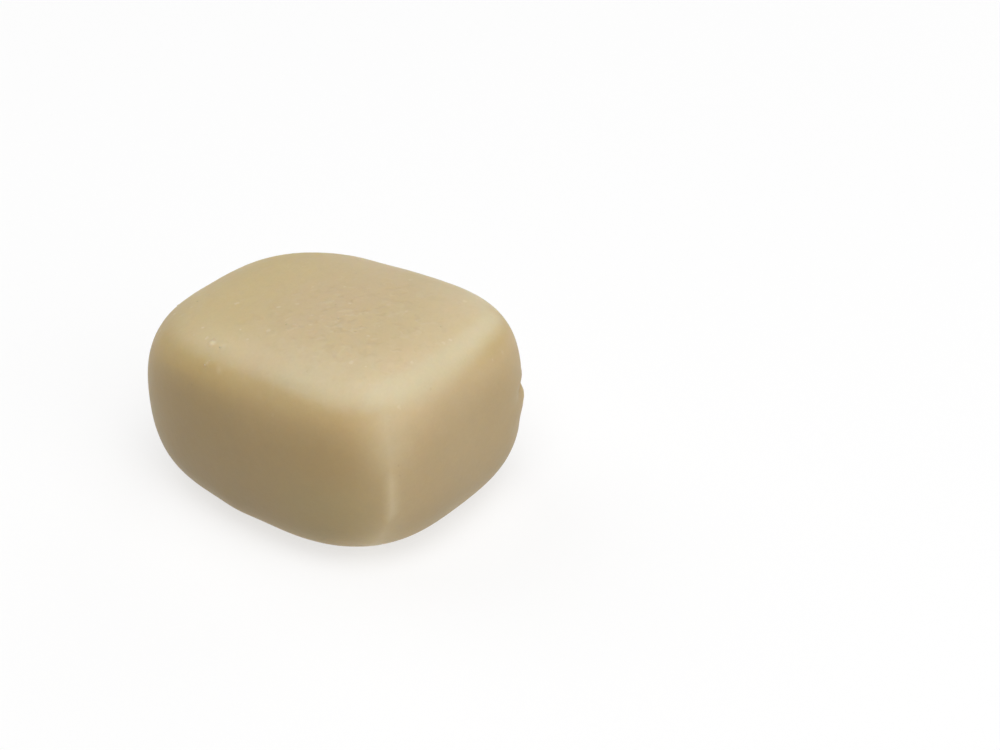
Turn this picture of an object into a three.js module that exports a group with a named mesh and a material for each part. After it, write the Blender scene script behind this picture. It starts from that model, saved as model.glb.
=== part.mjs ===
// A bar of marzipan: one soft block, pressed by hand, with bulging sides and rounded edges.
// Millimetres, +Z up. The bar lies on its flat base, with the origin under the middle of it.
// +X points along the bar to its higher end, and -Y is its long front side.

import * as THREE from 'three';
import { mergeVertices } from 'three/addons/utils/BufferGeometryUtils.js';

// Overall form
const LENGTH = 78; // along X, over the bulging sides
const WIDTH = 63.2; // along Y, over the bulging sides
const HEIGHT = 43.9; // from the base to the middle of the top
const BASE_PRESS = 0.9; // depth that the bar's own weight presses flat
const END_RISE = 3.6; // the top climbs this much from the middle to the +X end
const BACK_FALL = 0.7; // and drops this much from the middle to the back
const BULGE = 0.096; // share that the waist stands out beyond the top and the base
const WIDENING = 0.023; // share that the +X end is wider than the middle

// Powers of the rounding curves: 2 is an ellipse, and a larger power is squarer
const EDGE_POWER = 4.5; // seen from the side, where the faces roll into the top and the base
const CORNER_POWERS = { frontLeft: 2.86, frontRight: 2.81, backLeft: 3.03, backRight: 3.51 };

// The crisp line on the front right corner, where the front side meets the flat +X end
const CORNER_LINE = {
  x: 34.6,
  y: -21.4,
  facing: THREE.MathUtils.degToRad(-35), // direction that the line faces, about Z from +X
  lean: 0.22, // share that it leans to the front side near its foot
  leanBelow: 18, // height where that starts
  rise: 0.35, // height of the line over the round corner
  reach: 5, // distance over which it fades to each side
  foot: 2, // height where it starts
  full: 14, // height where it stands out fully
  fade: 22, // height where it starts to melt into the round corner
  end: 33, // height where it is gone
};

// Marks left by hands, each a soft spot on the skin: its place, its radius and how far it rises.
// A mark with a height of its own is that much flatter or taller than it is wide.
const HAND_MARKS = [
  { x: 21, y: -8, z: 46, radius: 9, rise: -0.3 },
  { x: -19, y: -4, z: 42, radius: 11, rise: -0.35 },
  { x: -33, y: -19, z: 33, radius: 7, rise: -0.4 },
  { x: -5, y: 25, z: 41, radius: 6, rise: -0.3 },
  { x: -6, y: 31, z: 20, radius: 12, rise: -0.5 },
  { x: -38, y: 6, z: 17, radius: 10, rise: -0.45 },
  { x: -2.5, y: -28.7, z: 6, radius: 5, rise: 0.5 },
];

// The nick in the back right corner: a short level groove, and the lip pushed out under it
const NICK = [
  { x: 34, y: 24.4, z: 24.1, radius: 5.5, height: 1.7, rise: -0.8 },
  { x: 34.6, y: 23.8, z: 20.3, radius: 5, height: 2.2, rise: 0.45 },
];

// Long waves left by kneading: length of the wave along each axis, shift in turns, and height
const KNEADING_WAVES = [
  { along: new THREE.Vector3(41, 58, 47), shift: 0.15, height: 0.07 },
  { along: new THREE.Vector3(-63, 37, 39), shift: 0.6, height: 0.06 },
  { along: new THREE.Vector3(29, -44, 66), shift: 0.35, height: 0.05 },
];

// Facets along the length, the width and the height
const FACETS = { length: 36, width: 30, height: 20 };

// Power of the plan outline for a turn about Z: the four corners' powers, blended round the bar
function cornerPower(turn) {
  const right = THREE.MathUtils.clamp(0.5 + Math.SQRT1_2 * Math.cos(turn), 0, 1);
  const back = THREE.MathUtils.clamp(0.5 + Math.SQRT1_2 * Math.sin(turn), 0, 1);
  const front = THREE.MathUtils.lerp(CORNER_POWERS.frontLeft, CORNER_POWERS.frontRight, right);
  const rear = THREE.MathUtils.lerp(CORNER_POWERS.backLeft, CORNER_POWERS.backRight, right);
  return THREE.MathUtils.lerp(front, rear, back);
}

// Point of the rounded block, from -1 to 1 along each axis, that lies in a direction from its centre
function unitBlock(direction) {
  const power = cornerPower(Math.atan2(direction.y, direction.x));
  const plan = (Math.abs(direction.x) ** power + Math.abs(direction.y) ** power) ** (1 / power);
  const size = (plan ** EDGE_POWER + Math.abs(direction.z) ** EDGE_POWER) ** (-1 / EDGE_POWER);
  return direction.clone().multiplyScalar(size);
}

// The same point at full size, on the bar before its base is pressed flat
function barPoint(unit) {
  const waist = (1 + BULGE * (1 - unit.z ** 2)) / (1 + BULGE);
  const lift = (unit.z + 1) / 2;
  const slope = END_RISE * unit.x - BACK_FALL * unit.y;
  return new THREE.Vector3(
    unit.x * (LENGTH / 2) * waist,
    unit.y * (WIDTH / 2) * waist * (1 + WIDENING * unit.x),
    lift * (HEIGHT + BASE_PRESS) + lift ** 2 * slope - BASE_PRESS,
  );
}

// Outward direction of the skin there, near enough for the small moves below
function outwardAt(unit) {
  const power = cornerPower(Math.atan2(unit.y, unit.x));
  const plan = (Math.abs(unit.x) ** power + Math.abs(unit.y) ** power) ** (1 / power);
  const side = plan ** (EDGE_POWER - power);
  const slopeOf = (value, exponent) => Math.sign(value) * Math.abs(value) ** (exponent - 1);
  return new THREE.Vector3(
    side * slopeOf(unit.x, power) / LENGTH,
    side * slopeOf(unit.y, power) / WIDTH,
    slopeOf(unit.z, EDGE_POWER) / HEIGHT,
  ).normalize();
}

// How far the crisp corner line lifts the skin at a point
function cornerLineRise(point) {
  const along = new THREE.Vector2(-Math.sin(CORNER_LINE.facing), Math.cos(CORNER_LINE.facing));
  const across = (point.x - CORNER_LINE.x) * along.x + (point.y - CORNER_LINE.y) * along.y;
  const leaning = CORNER_LINE.lean * Math.max(0, CORNER_LINE.leanBelow - point.z);
  const nearness = Math.max(0, 1 - Math.abs(across + leaning) / CORNER_LINE.reach);
  const start = THREE.MathUtils.smoothstep(point.z, CORNER_LINE.foot, CORNER_LINE.full);
  const finish = 1 - THREE.MathUtils.smoothstep(point.z, CORNER_LINE.fade, CORNER_LINE.end);
  const onFrontRight = point.x > 0 && point.y < 0;
  return onFrontRight ? CORNER_LINE.rise * nearness ** 2 * start * finish : 0;
}

// How far one mark lifts the skin at a point
function markRise(point, mark) {
  const sideways = Math.hypot(point.x - mark.x, point.y - mark.y) / mark.radius;
  const upwards = (point.z - mark.z) / (mark.height ?? mark.radius);
  return mark.rise * Math.exp(-(sideways ** 2) - upwards ** 2);
}

// How far one kneading wave lifts the skin at a point
function waveRise(point, wave) {
  const turns = point.x / wave.along.x + point.y / wave.along.y + point.z / wave.along.z + wave.shift;
  return wave.height * Math.sin(2 * Math.PI * turns);
}

// Total move of the skin outwards
function skinRise(point) {
  let rise = cornerLineRise(point);
  for (const mark of [...HAND_MARKS, ...NICK]) {
    rise += markRise(point, mark);
  }
  for (const wave of KNEADING_WAVES) {
    rise += waveRise(point, wave);
  }
  return rise;
}

// A box of even facets, with every corner moved out to the bar's skin
function barGeometry() {
  const box = new THREE.BoxGeometry(2, 2, 2, FACETS.length, FACETS.width, FACETS.height);
  box.deleteAttribute('normal');
  box.deleteAttribute('uv');
  const geometry = mergeVertices(box);
  const corners = geometry.getAttribute('position');
  const direction = new THREE.Vector3();
  for (let i = 0; i < corners.count; i += 1) {
    const unit = unitBlock(direction.fromBufferAttribute(corners, i));
    const point = barPoint(unit);
    point.addScaledVector(outwardAt(unit), skinRise(point));
    corners.setXYZ(i, point.x, point.y, Math.max(point.z, 0));
  }
  return geometry;
}

// Centres the bar over the origin, with its base at z = 0
function standOnOrigin(geometry) {
  geometry.computeBoundingBox();
  const { min, max } = geometry.boundingBox;
  geometry.translate(-(min.x + max.x) / 2, -(min.y + max.y) / 2, -min.z);
  geometry.computeVertexNormals();
  return geometry;
}

const marzipan = new THREE.MeshStandardMaterial({ color: 0xcdb48a, roughness: 0.5, metalness: 0 });
const bar = new THREE.Mesh(standOnOrigin(barGeometry()), marzipan);
bar.name = 'marzipan_bar';

const part = new THREE.Group();
part.add(bar);

export default part;
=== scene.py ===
import math
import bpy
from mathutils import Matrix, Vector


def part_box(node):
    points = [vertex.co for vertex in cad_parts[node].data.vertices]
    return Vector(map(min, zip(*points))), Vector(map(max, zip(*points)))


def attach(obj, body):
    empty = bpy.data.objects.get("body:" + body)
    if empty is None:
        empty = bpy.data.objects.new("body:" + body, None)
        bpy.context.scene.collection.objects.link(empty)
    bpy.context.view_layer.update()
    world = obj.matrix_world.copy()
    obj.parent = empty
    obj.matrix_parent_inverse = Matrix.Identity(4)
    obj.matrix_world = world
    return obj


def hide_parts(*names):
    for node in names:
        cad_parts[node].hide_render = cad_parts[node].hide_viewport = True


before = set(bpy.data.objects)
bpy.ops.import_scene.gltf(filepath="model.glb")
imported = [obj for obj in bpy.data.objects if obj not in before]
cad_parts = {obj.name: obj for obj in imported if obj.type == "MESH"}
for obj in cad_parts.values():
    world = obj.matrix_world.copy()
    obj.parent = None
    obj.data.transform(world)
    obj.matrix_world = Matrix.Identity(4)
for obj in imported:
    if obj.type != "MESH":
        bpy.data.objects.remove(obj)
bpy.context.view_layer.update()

from types import SimpleNamespace

import bmesh
import bpy
from mathutils import Vector

mm = 0.001  # the scene is in metres, and places and sizes on the skin are in millimetres
barLow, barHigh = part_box("marzipan_bar")
print("frame loaded, bar is", [round(side / mm, 1) for side in barHigh - barLow], "mm")


# A node socket that can be used in sums
class Wire:
    def __init__(self, socket):
        self.socket = socket
        self.tree = socket.id_data

    # another output of the same node
    def other(self, name):
        return Wire(socketNamed(self.socket.node.outputs, name))

    def math(self, operation, *values):
        return addNode(self.tree, "ShaderNodeMath", {"operation": operation}, dict(enumerate(values)))

    def __add__(self, value):
        return self.math("ADD", self, value)

    def __radd__(self, value):
        return self.math("ADD", value, self)

    def __sub__(self, value):
        return self.math("SUBTRACT", self, value)

    def __rsub__(self, value):
        return self.math("SUBTRACT", value, self)

    def __mul__(self, value):
        return self.math("MULTIPLY", self, value)

    def __rmul__(self, value):
        return self.math("MULTIPLY", value, self)

    def __truediv__(self, value):
        return self.math("DIVIDE", self, value)

    def __abs__(self):
        return self.math("ABSOLUTE", self)

    def atLeast(self, value):
        return self.math("MAXIMUM", self, value)

    # 0 below low, 1 above high, and a soft step between them
    def step(self, low, high):
        settings = {"interpolation_type": "SMOOTHSTEP"}
        sockets = {"Value": self, "From Min": low, "From Max": high}
        return addNode(self.tree, "ShaderNodeMapRange", settings, sockets)

    # 1 below low, 0 above high
    def fall(self, low, high):
        return 1.0 - self.step(low, high)


# Nodes that change type keep a socket for each type, and only the one in use is enabled
def socketNamed(sockets, key):
    if isinstance(key, int):
        return sockets[key]
    return next(socket for socket in sockets if socket.name == key and socket.enabled)


# Any node: its type, its settings, what goes into its sockets, and the output to go on with
def addNode(tree, kind, settings=None, sockets=None, output=0):
    node = tree.nodes.new(kind)
    for name, value in (settings or {}).items():
        if name == "stops":
            setStops(node.color_ramp.elements, value)
        else:
            setattr(node, name, value)
    for key, value in (sockets or {}).items():
        if isinstance(value, Wire):
            tree.links.new(value.socket, socketNamed(node.inputs, key))
        else:
            socketNamed(node.inputs, key).default_value = value
    return Wire(socketNamed(node.outputs, output))


def setStops(stops, wanted):
    while len(stops) < len(wanted):
        stops.new(1.0)
    for stop, (position, colour) in zip(stops, wanted):
        stop.position = position
        stop.color = colour


def mixColour(tree, share, first, second):
    sockets = {"Factor": share, "A": first, "B": second}
    return addNode(tree, "ShaderNodeMix", {"data_type": "RGBA"}, sockets, "Result")


def vectorMath(tree, operation, *values, output="Vector"):
    return addNode(tree, "ShaderNodeVectorMath", {"operation": operation}, dict(enumerate(values)), output)


def scaled(tree, vector, size):
    return addNode(tree, "ShaderNodeVectorMath", {"operation": "SCALE"}, {"Vector": vector, "Scale": size})


def combined(tree, x, y, z):
    return addNode(tree, "ShaderNodeCombineXYZ", {}, {"X": x, "Y": y, "Z": z})


# Noise whose blotches are about size across, from -1 to 1
def noise(tree, point, size, detail, seed):
    sockets = {"Vector": point, "W": seed, "Scale": 1 / size, "Detail": detail}
    return addNode(tree, "ShaderNodeTexNoise", {"noise_dimensions": "4D"}, sockets) * 2.0 - 1.0


# Nearness to a spot: 1 in its middle, fading to 0 at its radius, or at its height up and down
def nearSpot(tree, point, spot):
    radius = spot["radius"]
    stretch = (1.0, 1.0, radius / spot.get("height", radius))
    away = vectorMath(tree, "SUBTRACT", point, spot["middle"])
    away = vectorMath(tree, "MULTIPLY", away, stretch)
    return vectorMath(tree, "LENGTH", away, output="Value").fall(0.0, radius)


# Short creases that bend and break off, as in pressed paste
creaseShape = {
    "bends": {"size": 3.8, "detail": 1.5}, "width": (0.02, 0.16),
    "breaks": {"size": 2.1, "detail": 0.0}, "kept": (0.0, 0.35),
    "seeds": {"sunken": 41.0, "raised": 51.0},
}


# 1 along each crease, sunken or raised
def creases(tree, point, kind):
    seed = creaseShape["seeds"][kind]
    bent = noise(tree, point, **creaseShape["bends"], seed=seed)
    kept = noise(tree, point, **creaseShape["breaks"], seed=seed + 1.0).step(*creaseShape["kept"])
    return abs(bent).fall(*creaseShape["width"]) * kept


socketKinds = {int: "NodeSocketInt", float: "NodeSocketFloat", bpy.types.Material: "NodeSocketMaterial"}


# An empty tree with a named input for each of the values that it will be given
def newGeometryTree(name, values):
    tree = bpy.data.node_groups.new(name, "GeometryNodeTree")
    tree.interface.new_socket("Geometry", in_out="OUTPUT", socket_type="NodeSocketGeometry")
    tree.interface.new_socket("Geometry", in_out="INPUT", socket_type="NodeSocketGeometry")
    for label, value in values.items():
        tree.interface.new_socket(label, in_out="INPUT", socket_type=socketKinds[type(value)])
    given = tree.nodes.new("NodeGroupInput")
    tree.nodes.new("NodeGroupOutput")
    return tree, {socket.name: Wire(socket) for socket in given.outputs if socket.name}


def endTree(tree, geometry, material):
    geometry = addNode(tree, "GeometryNodeRealizeInstances", {}, {"Geometry": geometry})
    geometry = addNode(tree, "GeometryNodeSetMaterial", {}, {"Geometry": geometry, "Material": material})
    tree.links.new(geometry.socket, tree.nodes["Group Output"].inputs[0])


# Runs a tree on a mesh and keeps the result as a plain mesh object at the origin
def grow(name, mesh, tree, values):
    piece = bpy.data.objects.new(name, mesh)
    bpy.context.scene.collection.objects.link(piece)
    modifier = piece.modifiers.new(name, "NODES")
    modifier.node_group = tree
    for item in tree.interface.items_tree:
        if item.in_out == "INPUT" and item.name in values:
            modifier[item.identifier] = values[item.name]
    evaluated = piece.evaluated_get(bpy.context.evaluated_depsgraph_get())
    grown = bpy.data.meshes.new_from_object(evaluated)
    piece.modifiers.remove(modifier)
    piece.data = grown
    grown.name = name
    print(name, "has", sum(len(face.vertices) - 2 for face in grown.polygons), "triangles")
    return piece


def newMaterial(name):
    material = bpy.data.materials.new(name)
    material.use_nodes = True
    material.node_tree.nodes.clear()
    return material, material.node_tree


def endMaterial(tree, shader):
    output = tree.nodes.new("ShaderNodeOutputMaterial")
    tree.links.new(shader.socket, output.inputs["Surface"])


# Place on the object in mm, for what a material draws
def drawnPoint(tree):
    return scaled(tree, addNode(tree, "ShaderNodeTexCoord", output="Object"), 1 / mm)


# Marzipan: cream-beige almond paste with a waxy skin, rubbed at the edges. Its top is paler, partly dried
# paste and partly painted light, its sides and foot carry painted shade, and its edges carry a painted
# sheen
pasteLook = {
    "stored": ["slope", "edgeWear", "crest", "pressed", "pits", "scuffs"],  # on the skin, besides the tints
    "paintedLightBySlope": [  # from the undercut foot, past the upright sides, to the top: painted shade low down, and painted light on the top, which is also partly dried paler paste
        (0.10, (0.324, 0.233, 0.100, 1.0)),
        (0.36, (0.391, 0.279, 0.122, 1.0)),
        (0.57, (0.479, 0.353, 0.172, 1.0)),
        (0.75, (0.522, 0.401, 0.207, 1.0)),
        (0.93, (0.577, 0.465, 0.277, 1.0)),
    ],
    "tints": {  # what multiplies that colour on parts of the bar, mostly painted light and shade
        # painted light on the faces towards the high end
        "paleEnd": (1.050, 1.085, 1.25, 1.0),
        "yellowTop": (1.00, 0.99, 0.90, 1.0),
        # painted shade, a little yellower, on the back edge
        "yellowBack": (0.95, 0.93, 0.82, 1.0),
        # painted shade on the front face
        "dullFront": (0.905, 0.895, 0.885, 1.0),
        # painted light from the floor, paler and cooler, low on the front near the high end
        "coolFoot": (1.005, 1.055, 1.100, 1.0),
        # painted light beside the front corner
        "paleCorner": (1.17, 1.17, 1.21, 1.0),
    },
    "warmPatch": (0.600, 0.462, 0.295, 1.0),
    # the rubbed edges' colour: worn, paler paste with a painted sheen
    "wornAndSheenColour": (0.600, 0.532, 0.356, 1.0),
    # painted shade for the pits and sunken creases
    "pitted": (0.490, 0.375, 0.215, 1.0),
    "almondSkin": (0.230, 0.140, 0.070, 1.0),
    "almondWhite": (0.680, 0.590, 0.430, 1.0),
    "patches": {"size": 17, "detail": 3.0, "seed": 4.0},
    "patchRange": (-0.35, 0.45), "patchSlope": (0.75, 0.95), "patchShare": 0.6,
    "mottle": {"size": 2.6, "detail": 4.0, "seed": 9.0},
    "grain": {"size": 0.55, "detail": 3.0, "seed": 2.0},
    "ripple": {"size": 1.7, "detail": 2.0, "seed": 5.0},
    "darkFlecks": {"spacing": 5.2, "radius": 0.40, "empty": 0.78},
    "lightFlecks": {"spacing": 3.1, "radius": 0.48, "empty": 0.62},
    "lightFleckSlope": (0.45, 0.85),
    "shade": {"mottle": 0.04, "grain": 0.04, "crest": 0.025},  # how much lighter each makes the paste; the crest's share is a painted highlight
    "marks": [  # what is mixed in over all that, how much of it, and its colour
        # painted shade in the pits and sunken creases
        ("pits", 0.3, "pitted"),
        ("sunken", 0.36, "pitted"),
        ("raised", 0.25, "almondWhite"),
        ("scuffs", 0.6, "almondWhite"),
        ("darkFlecks", 0.18, "almondSkin"),
        ("lightFlecks", 0.5, "almondWhite"),
    ],
    "roughness": 0.48,
    "roughened": {"edgeWear": 0.04, "mottle": 0.05},
    "relief": {"grain": 0.6, "ripple": 1.0, "raised": 1.5, "sunken": -1.5},
    "bumpHeight": 0.05 * mm, "bumpStrength": 0.5,
    "ior": 1.46,
    "subsurface": 0.7, "subsurfaceDepth": 5.0 * mm, "subsurfaceRadius": (1.0, 0.62, 0.3),
}
fleckShape = {"ragScale": 1.6, "ragged": 0.7, "smallest": 0.5, "softEdge": 0.6, "cutOff": 0.02}


# Small ragged flecks in some cells of a grid: spacing, radius, and the share of cells that stay empty
def flecks(tree, point, spacing, radius, empty):
    shape = fleckShape
    ragSockets = {"Vector": point, "Scale": shape["ragScale"]}
    ragged = addNode(tree, "ShaderNodeTexNoise", {}, ragSockets, "Color")
    point = vectorMath(tree, "ADD", point, scaled(tree, ragged, shape["ragged"]))
    cellSockets = {"Vector": point, "Scale": 1 / spacing}
    cells = addNode(tree, "ShaderNodeTexVoronoi", {"feature": "F1"}, cellSockets)
    chance = addNode(tree, "ShaderNodeSeparateColor", {}, {"Color": cells.other("Color")})
    size = radius / spacing * (shape["smallest"] + chance.other("Green"))
    filled = chance.step(empty, empty + shape["cutOff"])
    return (1.0 - cells / size).step(0.0, shape["softEdge"]) * filled


# What the paste goes by at each point: values stored on the skin, noises, creases and flecks
def pasteMasks(tree):
    look = pasteLook
    point = drawnPoint(tree)
    masks = {}
    for name in [*look["stored"], *look["tints"]]:
        masks[name] = addNode(tree, "ShaderNodeAttribute", {"attribute_name": name}, output="Fac")
    slope = masks["slope"]
    for name in ("patches", "mottle", "grain", "ripple"):
        masks[name] = noise(tree, point, **look[name])
    masks["patches"] = masks["patches"].step(*look["patchRange"]) * slope.step(*look["patchSlope"])
    masks["patches"] = masks["patches"] * (1.0 - masks["yellowTop"])
    for kind in ("sunken", "raised"):
        masks[kind] = creases(tree, point, kind) * masks["pressed"]
    for name in ("darkFlecks", "lightFlecks"):
        masks[name] = flecks(tree, point, **look[name])
    masks["lightFlecks"] = masks["lightFlecks"] * slope.step(*look["lightFleckSlope"])
    return masks


# Some of the masks added up, each times its share
def addedUp(masks, shares, start):
    return sum((masks[name] * share for name, share in shares.items()), start)


# The paste's colour: a ramp by slope with painted shade low down and painted light on top, tints with
# painted light and shade on parts of the bar, a painted sheen on the rubbed edges and crest, and painted
# shade in pits and creases
def pasteColour(tree, masks):
    look = pasteLook
    plain = (1.0, 1.0, 1.0, 1.0)
    colour = addNode(tree, "ShaderNodeValToRGB", {"stops": look["paintedLightBySlope"]}, {"Fac": masks["slope"]})
    for name, tint in look["tints"].items():
        colour = vectorMath(tree, "MULTIPLY", colour, mixColour(tree, masks[name], plain, tint))
    colour = mixColour(tree, masks["patches"] * look["patchShare"], colour, look["warmPatch"])
    # rubbed edges: worn paste with a painted sheen
    colour = mixColour(tree, masks["edgeWear"], colour, look["wornAndSheenColour"])
    # mottle and grain vary the tone, and the crest's share is a painted highlight
    shade = addedUp(masks, look["shade"], 1.0)
    colour = vectorMath(tree, "MULTIPLY", colour, combined(tree, shade, shade, shade))
    for name, share, paint in look["marks"]:
        colour = mixColour(tree, masks[name] * share, colour, look[paint])
    return colour


def pasteMaterial():
    look = pasteLook
    material, tree = newMaterial("marzipanPaste")
    masks = pasteMasks(tree)
    bump = addNode(tree, "ShaderNodeBump", {}, {
        "Height": addedUp(masks, look["relief"], 0.0) * look["bumpHeight"],
        "Strength": look["bumpStrength"],
        "Distance": 1.0,
    })
    shader = addNode(tree, "ShaderNodeBsdfPrincipled", {}, {
        "Base Color": pasteColour(tree, masks),
        "Roughness": addedUp(masks, look["roughened"], look["roughness"]),
        "Normal": bump,
        "IOR": look["ior"],
        "Subsurface Weight": look["subsurface"],
        "Subsurface Radius": look["subsurfaceRadius"],
        "Subsurface Scale": look["subsurfaceDepth"],
    })
    endMaterial(tree, shader)
    return material


# The bar itself: the solid, smoothed and given the fine relief of its skin, in mm.
# A zone is a list of rules: what it goes by, where its share is nothing, where it is full, and its weight
barSkin = {
    "inputs": {
        "Smoothing": 2, "Hand waves": 0.06, "Skin waves": 0.03, "Grain": 0.012,
        "Pit depth": 0.14, "Crease depth": 0.075, "Scuff depth": 0.2, "Line rise": 0.14,
    },
    "weld": 0.01, "joinAngle": math.radians(40),
    "waves": {
        "Hand waves": {"size": 16, "detail": 2.0, "seed": 1.0},
        "Skin waves": {"size": 5, "detail": 2.0, "seed": 3.0},
        "Grain": {"size": 1.4, "detail": 1.0, "seed": 7.0},
    },
    "foot": [("z", 0.3, 3.0, 1.0)],  # the relief starts over the flat base
    "nearEnd": [("x", 0, 45, 1.0), ("y", 15, -5, 0.6)],
    "edge": {  # rubbed edges with a painted sheen, lower down and fainter near the high end
        "blurs": 60, "bulge": (0.03, 0.24), "zone": [("x", -25, 15, 0.7)],
        "up": (0.67, 0.96), "lowerAtEnd": (0.36, 0.29), "lossAtEnd": 0.35,
        "top": (0.84, 0.95), "topLossAtEnd": 0.4,
    },
    # the roll of the edge near the high end, which gets a painted highlight
    "crest": {"up": 0.77, "reach": 0.12, "zone": [("y", -18, -6, 1.0)]},
    "cornerLine": {  # the crisp line on the front corner, with worn paste and a painted highlight, the rubbed band with painted light, and painted light on the paste beside them
        "x": 34.9, "y": -21.0, "facing": math.radians(-35), "lean": 0.3, "leanBelow": 16.0,
        "zone": [("x", 20, 25, 1.0), ("y", -5, -10, 1.0)],
        "reach": 4.0, "foot": 10, "full": 17, "fade": 23, "end": 32, "lineWearAndHighlight": 0.44,
        "band": 10.0, "bandFoot": 4, "bandMiddle": 0.35, "bandWearAndLight": 0.4,
        # painted light on the paste beside the corner
        "paintedLightNear": 18.0, "paintedLightZone": [("z", 18, 8, 0.4), ("up", 0.7, 0.4, 1.0)],
    },
    "slope": {  # how far the skin faces up, which its colour goes by first, with painted shade where it faces down or sideways and painted light where it faces up
        "noise": {"size": 9, "detail": 2.0, "seed": 12.0}, "wander": 0.06,
        "along": (-35, 15), "shift": 0.03, "lowest": -0.4, "range": 1.4,
    },
    "yellowTop": {  # the low end, fading along the bar with a wandering border
        "noise": {"size": 12, "detail": 2.0, "seed": 14.0}, "wander": 6.0,
        "skew": 0.3, "along": (-22, 6), "zone": [("up", -0.2, 0.5, 1.0)],
    },
    # where the tints fall: painted light on the end face, beside the front corner and at the front foot,
    # and painted shade on the back and front
    "tintZones": {
        "paleEnd": [("toEnd", 0.55, 0.97, 1.0), ("y", 15, -5, 0.5)],
        "yellowBack": [
            ("y", -2, 14, 1.0), ("x", -40, -20, 1.0), ("up", 0.35, 0.7, 1.0), ("up", 0.99, 0.93, 1.0),
        ],
        "dullFront": [
            ("toFront", 0.62, 0.92, 1.0), ("up", 0.6, 0.25, 1.0), ("x", -32, -14, 1.0), ("x", 20, 0, 0.4),
        ],
        "coolFoot": [("toFront", 0.65, 0.85, 1.0), ("x", 8, 20, 1.0), ("z", 28, 18, 1.0)],
    },
    "pressed": {  # pressed paste, where pits and creases show
        "middle": (13.0, -5.0, 45.0), "radius": 30.0, "share": 0.8,
        "topZone": [("up", 0.3, 0.9, 1.0)], "topShare": 0.2,
    },
    "pits": {"noise": {"size": 2.2, "detail": 2.0, "seed": 21.0}, "range": (0.08, 0.4)},
    "scuffs": [  # small torn patches on the front edge of the top
        {"middle": (-9.0, -23.6, 41.3), "radius": 4.0},
        {"middle": (-8.5, -27.4, 38.5), "radius": 4.5},
    ],
    "scuffNoise": {"size": 1.3, "detail": 2.0, "seed": 31.0}, "scuffRange": (0.02, 0.3),
    "flakes": [  # flakes and hollows in them
        {"middle": (-10.5, -23.5, 41.1), "radius": 1.1, "rise": 0.4},
        {"middle": (-7.3, -23.2, 41.6), "radius": 1.5, "rise": 0.14},
        {"middle": (-8.6, -27.2, 38.9), "radius": 1.0, "rise": 0.18},
        {"middle": (-4.8, -27.6, 38.7), "radius": 1.6, "rise": 0.13},
        {"middle": (-9.2, -27.9, 37.9), "radius": 1.1, "rise": -0.2},
    ],
    "nick": [  # in the back right corner: a shoulder, a level groove, a lip pushed out, and a hollow
        {"middle": (33.8, 24.6, 26.2), "radius": 6.0, "height": 1.6, "rise": 0.25},
        {"middle": (34.0, 24.4, 24.0), "radius": 7.0, "height": 1.3, "rise": -1.3},
        {"middle": (34.5, 23.9, 21.6), "radius": 6.0, "height": 1.5, "rise": 0.3},
        {"middle": (34.8, 23.5, 16.5), "radius": 7.0, "height": 4.0, "rise": -0.14},
    ],
}


# The solid's mesh with its corners merged and most of its triangles joined into quads
def mergedSolid():
    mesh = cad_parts["marzipan_bar"].data.copy()
    flat = barSkin["joinAngle"]
    work = bmesh.new()
    work.from_mesh(mesh)
    bmesh.ops.remove_doubles(work, verts=work.verts, dist=barSkin["weld"] * mm)
    bmesh.ops.join_triangles(work, faces=work.faces, angle_face_threshold=flat, angle_shape_threshold=flat)
    quads = sum(len(face.verts) == 4 for face in work.faces)
    print("solid merged:", len(work.verts), "corners,", quads, "quads of", len(work.faces), "faces")
    work.to_mesh(mesh)
    work.free()
    mesh.materials.clear()
    return mesh


# A point of the skin in mm, and how far the skin there faces the high end, the front and up
def skinPlace(tree):
    normal = addNode(tree, "GeometryNodeInputNormal")
    point = scaled(tree, addNode(tree, "GeometryNodeInputPosition"), 1 / mm)
    x = addNode(tree, "ShaderNodeSeparateXYZ", {}, {"Vector": point})
    toEnd = addNode(tree, "ShaderNodeSeparateXYZ", {}, {"Vector": normal})
    return SimpleNamespace(
        tree=tree, point=point, normal=normal, x=x, y=x.other("Y"), z=x.other("Z"),
        toEnd=toEnd, toFront=0.0 - toEnd.other("Y"), up=toEnd.other("Z"),
    )


def noiseAt(at, shape):
    return noise(at.tree, at.point, **shape)


# 1 where all the rules of a zone are met, and a rule of less weight takes only that much away
def zoneShare(at, rules):
    share = 1.0
    for name, nothing, full, weight in rules:
        value = getattr(at, name)
        missed = value.fall(nothing, full) if nothing < full else value.step(full, nothing)
        share = share * (1.0 - weight * missed)
    return share


# What several marks raise the skin by
def marksRise(at, marks):
    return sum((nearSpot(at.tree, at.point, mark) * mark["rise"] for mark in marks), 0.0)


def nearScuffs(at):
    return sum((nearSpot(at.tree, at.point, patch) for patch in barSkin["scuffs"]), 0.0)


# Nearness to the corner line over a reach to each side
def nearLine(at, reach):
    line = barSkin["cornerLine"]
    alongX, alongY = -math.sin(line["facing"]), math.cos(line["facing"])
    across = (at.x - line["x"]) * alongX + (at.y - line["y"]) * alongY
    leaning = (line["leanBelow"] - at.z).atLeast(0.0) * line["lean"]
    near = (1.0 - abs(across + leaning) / reach).atLeast(0.0)
    return near * near * zoneShare(at, line["zone"])


# The crisp line with worn paste and a painted highlight, the rubbed band with painted light, which is
# stronger above and below the line, and painted light on the paste beside them
def cornerLine(at):
    line = barSkin["cornerLine"]
    crisp = nearLine(at, line["reach"]) * at.z.step(line["foot"], line["full"])
    crisp = crisp * at.z.fall(line["fade"], line["end"])
    ends = at.z.step(line["fade"], line["end"]) + at.z.fall(line["bandFoot"], line["full"])
    band = nearLine(at, line["band"]) * (line["bandMiddle"] + (1.0 - line["bandMiddle"]) * ends)
    paintedLightNear = nearLine(at, line["paintedLightNear"]) * zoneShare(at, line["paintedLightZone"])
    return crisp, band, paintedLightNear


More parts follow.
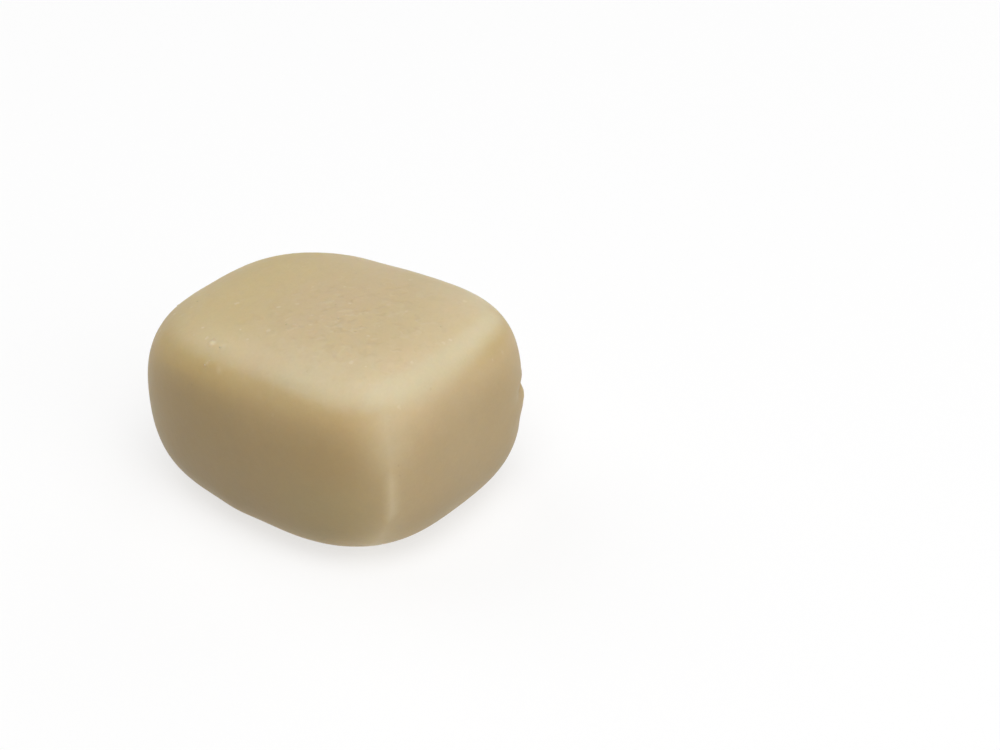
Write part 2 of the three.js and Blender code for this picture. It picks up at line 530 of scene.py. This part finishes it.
# Edges stand out from a blurred copy of the skin; they are given worn paste and a painted sheen
def wornAndSheenEdges(at, nearEnd):
    edge = barSkin["edge"]
    blurSettings = {"data_type": "FLOAT_VECTOR"}
    blurSockets = {"Value": at.point, "Iterations": edge["blurs"]}
    blurred = addNode(at.tree, "GeometryNodeBlurAttribute", blurSettings, blurSockets, "Value")
    outward = vectorMath(at.tree, "SUBTRACT", at.point, blurred)
    bulge = vectorMath(at.tree, "DOT_PRODUCT", outward, at.normal, output="Value")
    low, high = (up - lower * nearEnd for up, lower in zip(edge["up"], edge["lowerAtEnd"]))
    kept = zoneShare(at, edge["zone"]) * (1.0 - edge["lossAtEnd"] * nearEnd)
    kept = kept * (1.0 - edge["topLossAtEnd"] * nearEnd * at.up.step(*edge["top"]))
    return bulge.step(*edge["bulge"]) * at.up.step(low, high) * kept


# From 0 where the skin hangs over to 1 where it faces up, a little less at the low end. The paste's colour
# is painted darker towards 0 and lighter towards 1
def slopeShare(at):
    shape = barSkin["slope"]
    slope = at.up + shape["wander"] * noiseAt(at, shape["noise"])
    slope = slope - shape["shift"] * at.x.fall(*shape["along"])
    return (slope - shape["lowest"]) / shape["range"]


def yellowTop(at):
    shape = barSkin["yellowTop"]
    along = at.x + at.y * shape["skew"] + shape["wander"] * noiseAt(at, shape["noise"])
    return along.fall(*shape["along"]) * zoneShare(at, shape["zone"])


def pressedPaste(at):
    shape = barSkin["pressed"]
    spot = shape["share"] * nearSpot(at.tree, at.point, shape)
    return spot + shape["topShare"] * zoneShare(at, shape["topZone"])


def storeValue(tree, geometry, name, value):
    sockets = {"Geometry": geometry, "Name": name, "Value": value}
    return addNode(tree, "GeometryNodeStoreNamedAttribute", {"data_type": "FLOAT"}, sockets)


def skinTree(values):
    tree, given = newGeometryTree("marzipanSkin", values)
    at = skinPlace(tree)
    nearEnd = zoneShare(at, barSkin["nearEnd"])
    edge = wornAndSheenEdges(at, nearEnd)
    crisp, band, paintedLightNear = cornerLine(at)
    line = barSkin["cornerLine"]
    crest = barSkin["crest"]
    onHighlightCrest = (1.0 - abs(at.up - crest["up"]) / crest["reach"]).atLeast(0.0)
    pressed = pressedPaste(at) * (1.0 - edge)
    pits = noiseAt(at, barSkin["pits"]["noise"]).step(*barSkin["pits"]["range"]) * pressed
    torn = nearScuffs(at) * noiseAt(at, barSkin["scuffNoise"]) * given["Scuff depth"]
    torn = torn + marksRise(at, barSkin["flakes"])

    # what the paste's colour goes by, most of it painted light and shade
    masks = {name: zoneShare(at, rules) for name, rules in barSkin["tintZones"].items()}
    masks["slope"] = slopeShare(at)
    # rubbed edges with a painted sheen, the crisp line with a painted highlight and the band with painted
    # light, each also worn paste
    masks["edgeWear"] = edge.atLeast(crisp * line["lineWearAndHighlight"]).atLeast(band * line["bandWearAndLight"])
    # painted highlight along the edge near the high end
    masks["crest"] = nearEnd * onHighlightCrest * zoneShare(at, crest["zone"])
    masks["yellowTop"] = yellowTop(at)
    # painted light beside the front corner
    masks["paleCorner"] = paintedLightNear
    masks["pressed"] = pressed
    masks["pits"] = pits
    masks["scuffs"] = torn.step(*barSkin["scuffRange"])
    skinSockets = {0: given["Geometry"], 1: given["Smoothing"]}
    skin = addNode(tree, "GeometryNodeSubdivisionSurface", {}, skinSockets)
    for name, value in masks.items():
        skin = storeValue(tree, skin, name, value)

    # what moves the skin along its normal
    rise = sum((noiseAt(at, wave) * given[name] for name, wave in barSkin["waves"].items()), 0.0)
    rise = rise - pits * given["Pit depth"] + torn
    crease = creases(tree, at.point, "raised") - creases(tree, at.point, "sunken")
    rise = rise + crease * pressed * given["Crease depth"]
    rise = rise + crisp * given["Line rise"] + marksRise(at, barSkin["nick"])
    rise = rise * zoneShare(at, barSkin["foot"])
    offset = scaled(tree, at.normal, rise * mm)
    skin = addNode(tree, "GeometryNodeSetPosition", {}, {"Geometry": skin, "Offset": offset})
    skin = addNode(tree, "GeometryNodeSetShadeSmooth", {}, {"Geometry": skin})
    endTree(tree, skin, given["Material"])
    return tree


skinValues = {**barSkin["inputs"], "Material": pasteMaterial()}
bar = grow("marzipan_skin", mergedSolid(), skinTree(skinValues), skinValues)
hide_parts("marzipan_bar")
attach(bar, "root")

# Crumbs of ground almond that stick to the skin, most of them at the torn patches
almondCrumbs = {
    "inputs": {
        "Crumbs per square metre": 12000.0,
        "Crumbs at the scuffs": 120000.0,
        "Smallest": 0.14 * mm,
        "Largest": 0.32 * mm,
        "Seed": 11,
    },
    "patches": {"size": 14, "detail": 1.0, "seed": 17.0}, "patchRange": (-0.1, 0.4),
    "zone": [("up", 0.5, 0.95, 1.0)],
    "width": 0.75, "height": 0.45,  # shares of a crumb's length
    "roundness": 2, "jagScale": 3.5, "jag": 0.28 * mm,
    "almond": (0.590, 0.490, 0.312, 1.0),
    "toasted": (0.500, 0.385, 0.215, 1.0),
    "toast": {"size": 3.0, "detail": 1.0, "seed": 6.0}, "toastRange": (0.05, 0.45),
    "roughness": 0.62,
    "subsurface": 1.0, "subsurfaceDepth": 1.0 * mm, "subsurfaceRadius": (1.0, 0.8, 0.5),
}


def crumbMaterial():
    look = almondCrumbs
    material, tree = newMaterial("almondCrumb")
    toast = noise(tree, drawnPoint(tree), **look["toast"]).step(*look["toastRange"])
    shader = addNode(tree, "ShaderNodeBsdfPrincipled", {}, {
        "Base Color": mixColour(tree, toast, look["almond"], look["toasted"]),
        "Roughness": look["roughness"],
        "Subsurface Weight": look["subsurface"],
        "Subsurface Radius": look["subsurfaceRadius"],
        "Subsurface Scale": look["subsurfaceDepth"],
    })
    endMaterial(tree, shader)
    return material


def crumbTree(values):
    shape = almondCrumbs
    tree, given = newGeometryTree("almondCrumbs", values)
    at = skinPlace(tree)
    patchy = noiseAt(at, shape["patches"]).step(*shape["patchRange"]) * zoneShare(at, shape["zone"])
    density = patchy * given["Crumbs per square metre"] + nearScuffs(at) * given["Crumbs at the scuffs"]
    points = addNode(tree, "GeometryNodeDistributePointsOnFaces", {}, {
        "Mesh": given["Geometry"], "Density": density, "Seed": given["Seed"],
    })
    ballSockets = {"Radius": 1.0, "Subdivisions": shape["roundness"]}
    ball = addNode(tree, "GeometryNodeMeshIcoSphere", {}, ballSockets)
    size = addNode(tree, "FunctionNodeRandomValue", {"data_type": "FLOAT"}, {
        "Min": given["Smallest"], "Max": given["Largest"], "Seed": given["Seed"],
    }, "Value")
    crumbs = addNode(tree, "GeometryNodeInstanceOnPoints", {}, {
        "Points": points, "Instance": ball, "Rotation": points.other("Rotation"),
        "Scale": combined(tree, size, size * shape["width"], size * shape["height"]),
    })
    crumbs = addNode(tree, "GeometryNodeRealizeInstances", {}, {"Geometry": crumbs})
    jagSockets = {"Vector": at.point, "Scale": shape["jagScale"]}
    jagged = addNode(tree, "ShaderNodeTexNoise", {}, jagSockets, "Color")
    jagged = vectorMath(tree, "SUBTRACT", jagged, (0.5, 0.5, 0.5))  # to both sides
    offset = scaled(tree, jagged, shape["jag"])
    crumbs = addNode(tree, "GeometryNodeSetPosition", {}, {"Geometry": crumbs, "Offset": offset})
    endTree(tree, crumbs, given["Material"])
    return tree


crumbValues = {**almondCrumbs["inputs"], "Material": crumbMaterial()}
crumbs = grow("almond_crumbs", bar.data.copy(), crumbTree(crumbValues), crumbValues)
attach(crumbs, "root")

# Camera as the photograph was taken: it looks at a point on the floor behind the bar
photoCamera = {
    "azimuth": 37.13, "elevation": 33.0, "distance": 480.5 * mm,
    "aim": Vector((5.2, 54.4, -0.9)) * mm,
    "lens": 72, "sensor": 36, "nearest": 10 * mm,
}


# Azimuth turns from the front to the high end, in degrees
def direction(azimuth, elevation):
    turn, climb = math.radians(azimuth), math.radians(elevation)
    return Vector((math.sin(turn) * math.cos(climb), -math.cos(turn) * math.cos(climb), math.sin(climb)))


def pointAt(thing, place, target):
    thing.location = place
    thing.rotation_euler = (target - place).to_track_quat("-Z", "Y").to_euler()


def addCamera():
    camera = bpy.data.objects.new("camera", bpy.data.cameras.new("camera"))
    camera.data.lens = photoCamera["lens"]
    camera.data.sensor_width = photoCamera["sensor"]
    camera.data.clip_start = photoCamera["nearest"]
    bpy.context.scene.collection.objects.link(camera)
    back = direction(photoCamera["azimuth"], photoCamera["elevation"])
    pointAt(camera, photoCamera["aim"] + back * photoCamera["distance"], photoCamera["aim"])
    bpy.context.scene.camera = camera


# Soft studio light: large round lamps far from the bar, so that the floor is lit evenly
lamps = [
    {"name": "frontRight", "azimuth": 45, "elevation": 65, "power": 66},
    {"name": "right", "azimuth": 90, "elevation": 65, "power": 27},
    {"name": "lowRight", "azimuth": 90, "elevation": 25, "power": 29},
    {"name": "left", "azimuth": 270, "elevation": 45, "power": 28},
    {"name": "behind", "azimuth": 180, "elevation": 25, "power": 16},
]
lampDistance = 3.2  # metres from the bar
lampSize = 2.8  # metres across
room = {
    "colour": (1.0, 1.0, 1.0, 1.0), "strength": 0.05,
    "floor": (0.27, 0.27, 0.27, 1.0), "floorRoughness": 0.9, "floorGlow": 0.69, "floorSide": 16.0,
}


def addLamps():
    target = Vector((0, 0, barHigh.z / 2))
    for lamp in lamps:
        light = bpy.data.lights.new(lamp["name"], "AREA")
        light.shape = "DISK"
        light.size = lampSize
        light.energy = lamp["power"]
        holder = bpy.data.objects.new(lamp["name"], light)
        holder.visible_camera = False
        bpy.context.scene.collection.objects.link(holder)
        pointAt(holder, target + direction(lamp["azimuth"], lamp["elevation"]) * lampDistance, target)


def addRoom():
    world = bpy.data.worlds.new("room")
    world.use_nodes = True
    background = world.node_tree.nodes["Background"]
    background.inputs["Color"].default_value = room["colour"]
    background.inputs["Strength"].default_value = room["strength"]
    bpy.context.scene.world = world


def addFloor():
    half = room["floorSide"] / 2
    mesh = bpy.data.meshes.new("floor")
    corners = [(-half, -half, 0), (half, -half, 0), (half, half, 0), (-half, half, 0)]
    mesh.from_pydata(corners, [], [(0, 1, 2, 3)])
    floor = bpy.data.objects.new("floor", mesh)
    material, tree = newMaterial("floor")
    shader = addNode(tree, "ShaderNodeBsdfPrincipled", {}, {
        "Base Color": room["floor"], "Roughness": room["floorRoughness"],
        "Emission Color": room["colour"], "Emission Strength": room["floorGlow"],
    })
    endMaterial(tree, shader)
    mesh.materials.append(material)
    bpy.context.scene.collection.objects.link(floor)


addCamera()
addLamps()
addRoom()
addFloor()
bpy.context.scene.view_settings.view_transform = "Standard"
print("camera, lamps, room and floor set")
